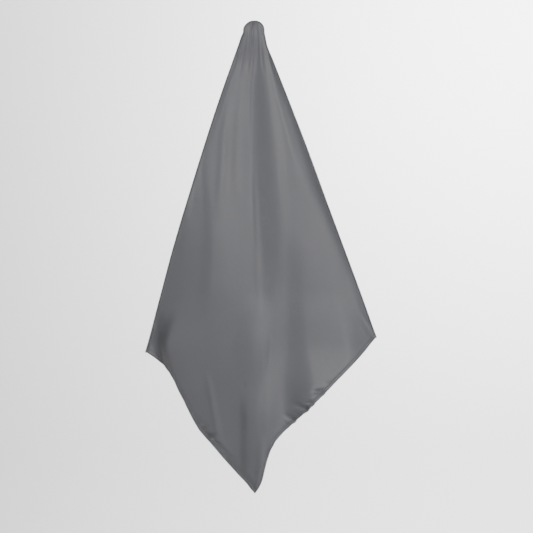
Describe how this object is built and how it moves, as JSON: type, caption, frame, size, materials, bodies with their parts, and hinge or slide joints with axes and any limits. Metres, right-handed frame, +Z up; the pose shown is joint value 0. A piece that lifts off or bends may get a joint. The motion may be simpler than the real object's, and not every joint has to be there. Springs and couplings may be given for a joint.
{
  "type": "satin bandana hung on a wall peg",
  "caption": "Plain grey square satin bandana hung by one corner over a round wall peg, its side corners folded behind the front.",
  "frame": {"origin": "centre of the flat back of the peg's rose, where it meets the wall", "axes": "+Z up, +Y into the wall, -Y towards the room, +X to the viewer's right"},
  "size_m": [0.4582, 0.0761, 0.914],
  "materials": {
    "satin": "plain grey polyester satin, soft sheen",
    "satin_hem": "the same satin turned to its duller reverse and sewn",
    "aluminium": "turned and brushed"
  },
  "bodies": {
    "root": {"cloth": "satin", "hem_lower_left": "satin_hem", "hem_lower_right": "satin_hem", "hem_upper_left": "satin_hem", "hem_upper_right": "satin_hem", "peg": "aluminium", "peg_rose": "aluminium"}
  },
  "joints": []
}
